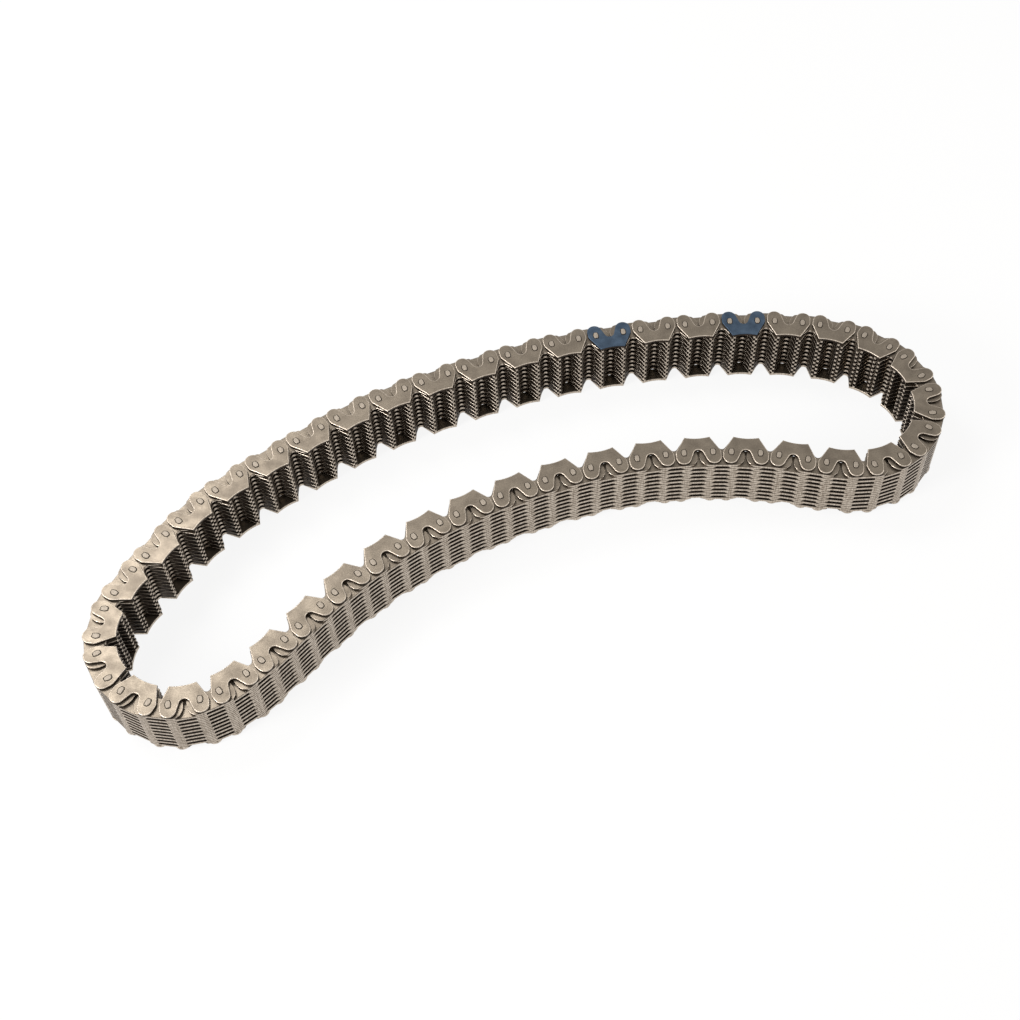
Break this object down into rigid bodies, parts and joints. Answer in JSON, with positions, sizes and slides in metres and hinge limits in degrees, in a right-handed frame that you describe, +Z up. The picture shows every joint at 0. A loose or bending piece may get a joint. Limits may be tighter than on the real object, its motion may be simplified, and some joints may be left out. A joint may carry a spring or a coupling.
{
  "type": "silent chain",
  "caption": "Endless inverted-tooth chain of stacked toothed plates on rocker pins between side guide plates, lying on its side as a loose kidney-shaped loop.",
  "frame": {"origin": "middle of the loop's bounding box, on the surface that the lower pin heads rest on", "axes": "+X along the loop's longest side, +Y across the loop, +Z up along the pins"},
  "size_m": [0.3358, 0.1882, 0.029],
  "materials": {
    "plate_steel": "tumbled and oiled steel, satin",
    "timing_blue": "blue marking finish, satin"
  },
  "bodies": {
    "link_pair_01": {"link_pair_01": "plate_steel", "timing_plate_01": "timing_blue"},
    "link_pair_02": {"link_pair_02": "plate_steel"},
    "link_pair_03": {"link_pair_03": "plate_steel"},
    "link_pair_04": {"link_pair_04": "plate_steel", "timing_plate_04": "timing_blue"},
    "link_pair_05": {"link_pair_05": "plate_steel"},
    "link_pair_06": {"link_pair_06": "plate_steel"},
    "link_pair_07": {"link_pair_07": "plate_steel"},
    "link_pair_08": {"link_pair_08": "plate_steel"},
    "link_pair_09": {"link_pair_09": "plate_steel"},
    "link_pair_10": {"link_pair_10": "plate_steel"},
    "link_pair_11": {"link_pair_11": "plate_steel"},
    "link_pair_12": {"link_pair_12": "plate_steel"},
    "link_pair_13": {"link_pair_13": "plate_steel"},
    "link_pair_14": {"link_pair_14": "plate_steel"},
    "link_pair_15": {"link_pair_15": "plate_steel"},
    "link_pair_24": {"link_pair_24": "plate_steel"},
    "link_pair_25": {"link_pair_25": "plate_steel"},
    "link_pair_26": {"link_pair_26": "plate_steel"},
    "link_pair_27": {"link_pair_27": "plate_steel"},
    "link_pair_28": {"link_pair_28": "plate_steel"},
    "link_pair_29": {"link_pair_29": "plate_steel"},
    "link_pair_30": {"link_pair_30": "plate_steel"},
    "link_pair_31": {"link_pair_31": "plate_steel"},
    "link_pair_32": {"link_pair_32": "plate_steel"},
    "link_pair_33": {"link_pair_33": "plate_steel"},
    "link_pair_42": {"link_pair_42": "plate_steel"},
    "guide_row_16": {"guide_row_16": "plate_steel"},
    "guide_row_17": {"guide_row_17": "plate_steel"},
    "guide_row_18": {"guide_row_18": "plate_steel"},
    "guide_row_19": {"guide_row_19": "plate_steel"},
    "guide_row_20": {"guide_row_20": "plate_steel"},
    "guide_row_21": {"guide_row_21": "plate_steel"},
    "guide_row_22": {"guide_row_22": "plate_steel"},
    "guide_row_23": {"guide_row_23": "plate_steel"},
    "guide_row_34": {"guide_row_34": "plate_steel"},
    "guide_row_35": {"guide_row_35": "plate_steel"},
    "guide_row_36": {"guide_row_36": "plate_steel"},
    "guide_row_37": {"guide_row_37": "plate_steel"},
    "guide_row_38": {"guide_row_38": "plate_steel"},
    "guide_row_39": {"guide_row_39": "plate_steel"},
    "guide_row_40": {"guide_row_40": "plate_steel"},
    "guide_row_41": {"guide_row_41": "plate_steel"},
    "inner_row_16": {"inner_row_16": "plate_steel"},
    "inner_row_17": {"inner_row_17": "plate_steel"},
    "inner_row_18": {"inner_row_18": "plate_steel"},
    "inner_row_19": {"inner_row_19": "plate_steel"},
    "inner_row_20": {"inner_row_20": "plate_steel"},
    "inner_row_21": {"inner_row_21": "plate_steel"},
    "inner_row_22": {"inner_row_22": "plate_steel"},
    "inner_row_23": {"inner_row_23": "plate_steel"},
    "inner_row_34": {"inner_row_34": "plate_steel"},
    "inner_row_35": {"inner_row_35": "plate_steel"},
    "inner_row_36": {"inner_row_36": "plate_steel"},
    "inner_row_37": {"inner_row_37": "plate_steel"},
    "inner_row_38": {"inner_row_38": "plate_steel"},
    "inner_row_39": {"inner_row_39": "plate_steel"},
    "inner_row_40": {"inner_row_40": "plate_steel"},
    "inner_row_41": {"inner_row_41": "plate_steel"}
  },
  "joints": [
    {"name": "pivot_14", "type": "hinge", "parent": "link_pair_07", "child": "link_pair_08", "pos_m": [-0.03642, 0.06117, 0.0145], "axis": [0, 0, 1], "range_deg": [-10.8, 24.2]},
    {"name": "pivot_16", "type": "hinge", "parent": "link_pair_08", "child": "link_pair_09", "pos_m": [-0.05386, 0.05352, 0.0145], "axis": [0, 0, 1], "range_deg": [-12, 23]},
    {"name": "pivot_18", "type": "hinge", "parent": "link_pair_09", "child": "link_pair_10", "pos_m": [-0.07073, 0.04467, 0.0145], "axis": [0, 0, 1], "range_deg": [-13.3, 21.7]},
    {"name": "pivot_20", "type": "hinge", "parent": "link_pair_10", "child": "link_pair_11", "pos_m": [-0.08662, 0.03417, 0.0145], "axis": [0, 0, 1], "range_deg": [-11.5, 23.5]},
    {"name": "pivot_22", "type": "hinge", "parent": "link_pair_11", "child": "link_pair_12", "pos_m": [-0.10194, 0.02285, 0.0145], "axis": [0, 0, 1], "range_deg": [-9.8, 25.2]},
    {"name": "pivot_24", "type": "hinge", "parent": "link_pair_12", "child": "link_pair_13", "pos_m": [-0.11712, 0.01135, 0.0145], "axis": [0, 0, 1], "range_deg": [-12.8, 22.2]},
    {"name": "pivot_26", "type": "hinge", "parent": "link_pair_13", "child": "link_pair_14", "pos_m": [-0.13112, -0.00155, 0.0145], "axis": [0, 0, 1], "range_deg": [-15.8, 19.2]},
    {"name": "pivot_28", "type": "hinge", "parent": "link_pair_14", "child": "link_pair_15", "pos_m": [-0.14271, -0.01665, 0.0145], "axis": [0, 0, 1], "range_deg": [-12.1, 22.9]},
    {"name": "pivot_30", "type": "hinge", "parent": "link_pair_15", "child": "guide_row_16", "pos_m": [-0.15318, -0.03257, 0.0145], "axis": [0, 0, 1], "range_deg": [-14.3, 20.7]},
    {"name": "pivot_31", "type": "hinge", "parent": "guide_row_16", "child": "inner_row_16", "pos_m": [-0.15779, -0.0409, 0.0145], "axis": [0, 0, 1], "range_deg": [-18.3, 16.7]},
    {"name": "pivot_32", "type": "hinge", "parent": "inner_row_16", "child": "guide_row_17", "pos_m": [-0.16115, -0.04982, 0.0145], "axis": [0, 0, 1], "range_deg": [-23.3, 11.7]},
    {"name": "pivot_33", "type": "hinge", "parent": "guide_row_17", "child": "inner_row_17", "pos_m": [-0.16239, -0.05926, 0.0145], "axis": [0, 0, 1], "range_deg": [-28.3, 6.7]},
    {"name": "pivot_34", "type": "hinge", "parent": "inner_row_17", "child": "guide_row_18", "pos_m": [-0.16059, -0.06862, 0.0145], "axis": [0, 0, 1], "range_deg": [-28.2, 6.8]},
    {"name": "left_turn_pivot_35", "type": "hinge", "parent": "guide_row_18", "child": "inner_row_18", "pos_m": [-0.15597, -0.07694, 0.0145], "axis": [0, 0, 1], "range_deg": [-3.61, 2.17]},
    {"name": "pivot_36", "type": "hinge", "parent": "inner_row_18", "child": "guide_row_19", "pos_m": [-0.149, -0.08343, 0.0145], "axis": [0, 0, 1], "range_deg": [-28, 7]},
    {"name": "pivot_37", "type": "hinge", "parent": "guide_row_19", "child": "inner_row_19", "pos_m": [-0.14036, -0.08744, 0.0145], "axis": [0, 0, 1], "range_deg": [-27.9, 7.1]},
    {"name": "pivot_38", "type": "hinge", "parent": "inner_row_19", "child": "guide_row_20", "pos_m": [-0.13091, -0.08861, 0.0145], "axis": [0, 0, 1], "range_deg": [-27.8, 7.2]},
    {"name": "pivot_39", "type": "hinge", "parent": "guide_row_20", "child": "inner_row_20", "pos_m": [-0.12155, -0.08684, 0.0145], "axis": [0, 0, 1], "range_deg": [-25, 10]},
    {"name": "pivot_40", "type": "hinge", "parent": "inner_row_20", "child": "guide_row_21", "pos_m": [-0.11297, -0.0827, 0.0145], "axis": [0, 0, 1], "range_deg": [-22.3, 12.7]},
    {"name": "pivot_41", "type": "hinge", "parent": "guide_row_21", "child": "inner_row_21", "pos_m": [-0.10547, -0.07682, 0.0145], "axis": [0, 0, 1], "range_deg": [-17.6, 17.4]},
    {"name": "pivot_42", "type": "hinge", "parent": "inner_row_21", "child": "guide_row_22", "pos_m": [-0.09881, -0.07001, 0.0145], "axis": [0, 0, 1], "range_deg": [-12.8, 22.2]},
    {"name": "pivot_43", "type": "hinge", "parent": "guide_row_22", "child": "inner_row_22", "pos_m": [-0.09249, -0.06289, 0.0145], "axis": [0, 0, 1], "range_deg": [-11.3, 23.7]},
    {"name": "pivot_44", "type": "hinge", "parent": "inner_row_22", "child": "guide_row_23", "pos_m": [-0.08634, -0.05562, 0.0145], "axis": [0, 0, 1], "range_deg": [-9.8, 25.2]},
    {"name": "pivot_45", "type": "hinge", "parent": "guide_row_23", "child": "inner_row_23", "pos_m": [-0.08016, -0.04837, 0.0145], "axis": [0, 0, 1], "range_deg": [-8.3, 26.7]},
    {"name": "pivot_46", "type": "hinge", "parent": "inner_row_23", "child": "link_pair_24", "pos_m": [-0.07377, -0.0413, 0.0145], "axis": [0, 0, 1], "range_deg": [-6.8, 28.2]},
    {"name": "pivot_48", "type": "hinge", "parent": "link_pair_24", "child": "link_pair_25", "pos_m": [-0.05989, -0.02827, 0.0145], "axis": [0, 0, 1], "range_deg": [-7, 28]},
    {"name": "pivot_50", "type": "hinge", "parent": "link_pair_25", "child": "link_pair_26", "pos_m": [-0.04473, -0.01674, 0.0145], "axis": [0, 0, 1], "range_deg": [-7.2, 27.8]},
    {"name": "pivot_52", "type": "hinge", "parent": "link_pair_26", "child": "link_pair_27", "pos_m": [-0.02854, -0.00672, 0.0145], "axis": [0, 0, 1], "range_deg": [-7.5, 27.5]},
    {"name": "pivot_54", "type": "hinge", "parent": "link_pair_27", "child": "link_pair_28", "pos_m": [-0.01152, 0.00183, 0.0145], "axis": [0, 0, 1], "range_deg": [-7.7, 27.3]},
    {"name": "pivot_12", "type": "hinge", "parent": "link_pair_07", "child": "link_pair_06", "pos_m": [-0.01871, 0.0682, 0.0145], "axis": [0, 0, -1], "range_deg": [-11.4, 23.6]},
    {"name": "pivot_10", "type": "hinge", "parent": "link_pair_06", "child": "link_pair_05", "pos_m": [-0.00069, 0.07438, 0.0145], "axis": [0, 0, -1], "range_deg": [-12, 23]},
    {"name": "pivot_08", "type": "hinge", "parent": "link_pair_05", "child": "link_pair_04", "pos_m": [0.01771, 0.07929, 0.0145], "axis": [0, 0, -1], "range_deg": [-11.9, 23.1]},
    {"name": "pivot_06", "type": "hinge", "parent": "link_pair_04", "child": "link_pair_03", "pos_m": [0.0364, 0.08296, 0.0145], "axis": [0, 0, -1], "range_deg": [-11.2, 23.8]},
    {"name": "pivot_04", "type": "hinge", "parent": "link_pair_03", "child": "link_pair_02", "pos_m": [0.05523, 0.08585, 0.0145], "axis": [0, 0, -1], "range_deg": [-11.2, 23.8]},
    {"name": "pivot_02", "type": "hinge", "parent": "link_pair_02", "child": "link_pair_01", "pos_m": [0.07416, 0.08797, 0.0145], "axis": [0, 0, -1], "range_deg": [-12, 23]},
    {"name": "pivot_00", "type": "hinge", "parent": "link_pair_01", "child": "link_pair_42", "pos_m": [0.09319, 0.08879, 0.0145], "axis": [0, 0, -1], "range_deg": [-12.8, 22.2]},
    {"name": "pivot_82", "type": "hinge", "parent": "link_pair_42", "child": "inner_row_41", "pos_m": [0.1122, 0.08772, 0.0145], "axis": [0, 0, -1], "range_deg": [-13.8, 21.2]},
    {"name": "pivot_81", "type": "hinge", "parent": "inner_row_41", "child": "guide_row_41", "pos_m": [0.12161, 0.08628, 0.0145], "axis": [0, 0, -1], "range_deg": [-15.9, 19.1]},
    {"name": "pivot_80", "type": "hinge", "parent": "guide_row_41", "child": "inner_row_40", "pos_m": [0.13083, 0.08388, 0.0145], "axis": [0, 0, -1], "range_deg": [-17.9, 17.1]},
    {"name": "pivot_79", "type": "hinge", "parent": "inner_row_40", "child": "guide_row_40", "pos_m": [0.13964, 0.08025, 0.0145], "axis": [0, 0, -1], "range_deg": [-19.9, 15.1]},
    {"name": "pivot_78", "type": "hinge", "parent": "guide_row_40", "child": "inner_row_39", "pos_m": [0.14769, 0.07516, 0.0145], "axis": [0, 0, -1], "range_deg": [-21.9, 13.1]},
    {"name": "pivot_77", "type": "hinge", "parent": "inner_row_39", "child": "guide_row_39", "pos_m": [0.15452, 0.06852, 0.0145], "axis": [0, 0, -1], "range_deg": [-23.5, 11.5]},
    {"name": "pivot_76", "type": "hinge", "parent": "guide_row_39", "child": "inner_row_38", "pos_m": [0.15962, 0.06048, 0.0145], "axis": [0, 0, -1], "range_deg": [-25.1, 9.9]},
    {"name": "pivot_75", "type": "hinge", "parent": "inner_row_38", "child": "guide_row_38", "pos_m": [0.16244, 0.05138, 0.0145], "axis": [0, 0, -1], "range_deg": [-26.8, 8.2]},
    {"name": "pivot_74", "type": "hinge", "parent": "guide_row_38", "child": "inner_row_37", "pos_m": [0.16252, 0.04185, 0.0145], "axis": [0, 0, -1], "range_deg": [-28.4, 6.6]},
    {"name": "right_turn_pivot_73", "type": "hinge", "parent": "inner_row_37", "child": "guide_row_37", "pos_m": [0.15959, 0.03279, 0.0145], "axis": [0, 0, -1], "range_deg": [-6.62, 3.97]},
    {"name": "pivot_72", "type": "hinge", "parent": "guide_row_37", "child": "inner_row_36", "pos_m": [0.15402, 0.02506, 0.0145], "axis": [0, 0, -1], "range_deg": [-27.4, 7.6]},
    {"name": "pivot_71", "type": "hinge", "parent": "inner_row_36", "child": "guide_row_36", "pos_m": [0.1464, 0.01935, 0.0145], "axis": [0, 0, -1], "range_deg": [-26.9, 8.1]},
    {"name": "pivot_70", "type": "hinge", "parent": "guide_row_36", "child": "inner_row_35", "pos_m": [0.13745, 0.0161, 0.0145], "axis": [0, 0, -1], "range_deg": [-26.4, 8.6]},
    {"name": "pivot_69", "type": "hinge", "parent": "inner_row_35", "child": "guide_row_35", "pos_m": [0.12794, 0.01551, 0.0145], "axis": [0, 0, -1], "range_deg": [-20.1, 14.9]},
    {"name": "pivot_68", "type": "hinge", "parent": "guide_row_35", "child": "inner_row_34", "pos_m": [0.11848, 0.0166, 0.0145], "axis": [0, 0, -1], "range_deg": [-13.9, 21.1]},
    {"name": "pivot_67", "type": "hinge", "parent": "inner_row_34", "child": "guide_row_34", "pos_m": [0.10911, 0.01833, 0.0145], "axis": [0, 0, -1], "range_deg": [-10.1, 24.9]},
    {"name": "pivot_66", "type": "hinge", "parent": "guide_row_34", "child": "link_pair_33", "pos_m": [0.09975, 0.02009, 0.0145], "axis": [0, 0, -1], "range_deg": [-6.4, 28.6]},
    {"name": "pivot_64", "type": "hinge", "parent": "link_pair_33", "child": "link_pair_32", "pos_m": [0.08079, 0.02184, 0.0145], "axis": [0, 0, -1], "range_deg": [-6.7, 28.3]},
    {"name": "pivot_62", "type": "hinge", "parent": "link_pair_32", "child": "link_pair_31", "pos_m": [0.06175, 0.0214, 0.0145], "axis": [0, 0, -1], "range_deg": [-7, 28]},
    {"name": "pivot_60", "type": "hinge", "parent": "link_pair_31", "child": "link_pair_30", "pos_m": [0.04287, 0.01896, 0.0145], "axis": [0, 0, -1], "range_deg": [-7.3, 27.7]},
    {"name": "pivot_58", "type": "hinge", "parent": "link_pair_30", "child": "link_pair_29", "pos_m": [0.02429, 0.01474, 0.0145], "axis": [0, 0, -1], "range_deg": [-7.6, 27.4]}
  ],
  "couplings": [
    {"joint": "pivot_14", "follows": "left_turn_pivot_35", "ratio": -2.7928},
    {"joint": "pivot_16", "follows": "left_turn_pivot_35", "ratio": -1.15},
    {"joint": "pivot_18", "follows": "left_turn_pivot_35", "ratio": 0.20473},
    {"joint": "pivot_20", "follows": "left_turn_pivot_35", "ratio": 1.0611},
    {"joint": "pivot_22", "follows": "left_turn_pivot_35", "ratio": 1.3128},
    {"joint": "pivot_24", "follows": "left_turn_pivot_35", "ratio": 1.028},
    {"joint": "pivot_26", "follows": "left_turn_pivot_35", "ratio": 0.35839},
    {"joint": "pivot_28", "follows": "left_turn_pivot_35", "ratio": -0.4844},
    {"joint": "pivot_30", "follows": "left_turn_pivot_35", "ratio": -1.2664},
    {"joint": "pivot_31", "follows": "left_turn_pivot_35", "ratio": -1.5008},
    {"joint": "pivot_32", "follows": "left_turn_pivot_35", "ratio": -0.69716},
    {"joint": "pivot_33", "follows": "left_turn_pivot_35", "ratio": 1.1373},
    {"joint": "pivot_34", "follows": "left_turn_pivot_35", "ratio": 2.7707},
    {"joint": "pivot_36", "follows": "left_turn_pivot_35", "ratio": -0.23678},
    {"joint": "pivot_37", "follows": "left_turn_pivot_35", "ratio": -0.59038},
    {"joint": "pivot_38", "follows": "left_turn_pivot_35", "ratio": -0.66954},
    {"joint": "pivot_39", "follows": "left_turn_pivot_35", "ratio": -0.80444},
    {"joint": "pivot_40", "follows": "left_turn_pivot_35", "ratio": -0.91921},
    {"joint": "pivot_41", "follows": "left_turn_pivot_35", "ratio": -0.85252},
    {"joint": "pivot_42", "follows": "left_turn_pivot_35", "ratio": -0.60867},
    {"joint": "pivot_43", "follows": "left_turn_pivot_35", "ratio": -0.3037},
    {"joint": "pivot_44", "follows": "left_turn_pivot_35", "ratio": -0.22409},
    {"joint": "pivot_45", "follows": "left_turn_pivot_35", "ratio": 0.28893},
    {"joint": "pivot_46", "follows": "left_turn_pivot_35", "ratio": 0.60745},
    {"joint": "pivot_48", "follows": "left_turn_pivot_35", "ratio": 0.88516},
    {"joint": "pivot_50", "follows": "left_turn_pivot_35", "ratio": 0.95392},
    {"joint": "pivot_52", "follows": "left_turn_pivot_35", "ratio": 0.75241},
    {"joint": "pivot_54", "follows": "left_turn_pivot_35", "ratio": 0.40034},
    {"joint": "pivot_12", "follows": "right_turn_pivot_73", "ratio": 0.86647},
    {"joint": "pivot_10", "follows": "right_turn_pivot_73", "ratio": 0.76453},
    {"joint": "pivot_08", "follows": "right_turn_pivot_73", "ratio": 0.66402},
    {"joint": "pivot_06", "follows": "right_turn_pivot_73", "ratio": 0.49665},
    {"joint": "pivot_04", "follows": "right_turn_pivot_73", "ratio": 0.1989},
    {"joint": "pivot_02", "follows": "right_turn_pivot_73", "ratio": -0.19464},
    {"joint": "pivot_00", "follows": "right_turn_pivot_73", "ratio": -0.54284},
    {"joint": "pivot_82", "follows": "right_turn_pivot_73", "ratio": -0.69417},
    {"joint": "pivot_81", "follows": "right_turn_pivot_73", "ratio": -0.62247},
    {"joint": "pivot_80", "follows": "right_turn_pivot_73", "ratio": -0.42736},
    {"joint": "pivot_79", "follows": "right_turn_pivot_73", "ratio": -0.24505},
    {"joint": "pivot_78", "follows": "right_turn_pivot_73", "ratio": -0.16289},
    {"joint": "pivot_77", "follows": "right_turn_pivot_73", "ratio": -0.18298},
    {"joint": "pivot_76", "follows": "right_turn_pivot_73", "ratio": -0.21905},
    {"joint": "pivot_75", "follows": "right_turn_pivot_73", "ratio": -0.1108},
    {"joint": "pivot_74", "follows": "right_turn_pivot_73", "ratio": 0.30473},
    {"joint": "pivot_72", "follows": "right_turn_pivot_73", "ratio": 1.5107},
    {"joint": "pivot_71", "follows": "right_turn_pivot_73", "ratio": 0.90031},
    {"joint": "pivot_70", "follows": "right_turn_pivot_73", "ratio": 0.094797},
    {"joint": "pivot_69", "follows": "right_turn_pivot_73", "ratio": -0.36917},
    {"joint": "pivot_68", "follows": "right_turn_pivot_73", "ratio": -0.43632},
    {"joint": "pivot_67", "follows": "right_turn_pivot_73", "ratio": -0.29802},
    {"joint": "pivot_66", "follows": "right_turn_pivot_73", "ratio": -0.14752},
    {"joint": "pivot_64", "follows": "right_turn_pivot_73", "ratio": -0.093876},
    {"joint": "pivot_62", "follows": "right_turn_pivot_73", "ratio": -0.16365},
    {"joint": "pivot_60", "follows": "right_turn_pivot_73", "ratio": -0.32288},
    {"joint": "pivot_58", "follows": "right_turn_pivot_73", "ratio": -0.51594}
  ]
}
